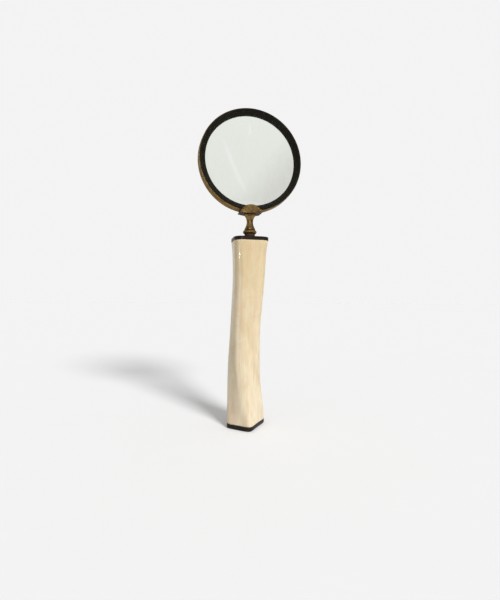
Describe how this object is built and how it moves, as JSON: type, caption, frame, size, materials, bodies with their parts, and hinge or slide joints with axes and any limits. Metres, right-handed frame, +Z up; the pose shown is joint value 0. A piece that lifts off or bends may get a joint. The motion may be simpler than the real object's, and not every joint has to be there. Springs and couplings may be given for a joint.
{
  "type": "magnifying glass",
  "caption": "Upright magnifying glass: round lens in a brass and black rim on a turned brass stem that unscrews from a carved bone handle with dark horn end plates.",
  "frame": {"origin": "centre of the flat underside of the bottom plate, where the glass stands", "axes": "+Z up along the handle; the lens's front face looks along -Y; +X is to the right of someone facing the front"},
  "size_m": [0.087, 0.0326, 0.2591],
  "materials": {
    "antique_brass": "satin",
    "black_enamel": "satin",
    "optical_glass": "polished",
    "gasket_rubber": "matte",
    "steel": "satin",
    "dark_fibre": "matte",
    "dark_horn": "satin",
    "polished_bone": "satin",
    "hardwood": "matte",
    "plain_brass": "satin"
  },
  "bodies": {
    "handle": {"grip": "polished_bone", "core": "hardwood", "insert": "plain_brass", "top_plate": "dark_horn", "bottom_plate": "dark_horn", "top_pin_left": "polished_bone", "top_pin_right": "polished_bone", "bottom_pin_front": "polished_bone", "bottom_pin_rear": "polished_bone"},
    "washer": {"seat_washer": "dark_fibre"},
    "head": {"rim_band": "antique_brass", "bezel_front": "black_enamel", "bezel_rear": "black_enamel", "lens": "optical_glass", "lens_gasket_front": "gasket_rubber", "lens_gasket_rear": "gasket_rubber", "saddle": "antique_brass", "saddle_screw": "steel", "stem": "antique_brass", "stud": "steel"}
  },
  "joints": [
    {"name": "head_rise", "type": "slide", "parent": "handle", "child": "washer", "axis": [0, 0, 1], "range_m": [0, 0.0101]},
    {"name": "head_turn", "type": "hinge", "parent": "washer", "child": "head", "pos_m": [0.0018, 0, 0.1507], "axis": [0, 0, 1], "range_deg": [0, 3600]}
  ],
  "couplings": [
    {"joint": "head_rise", "follows": "head_turn", "m_per_rad": 0.00015915}
  ]
}
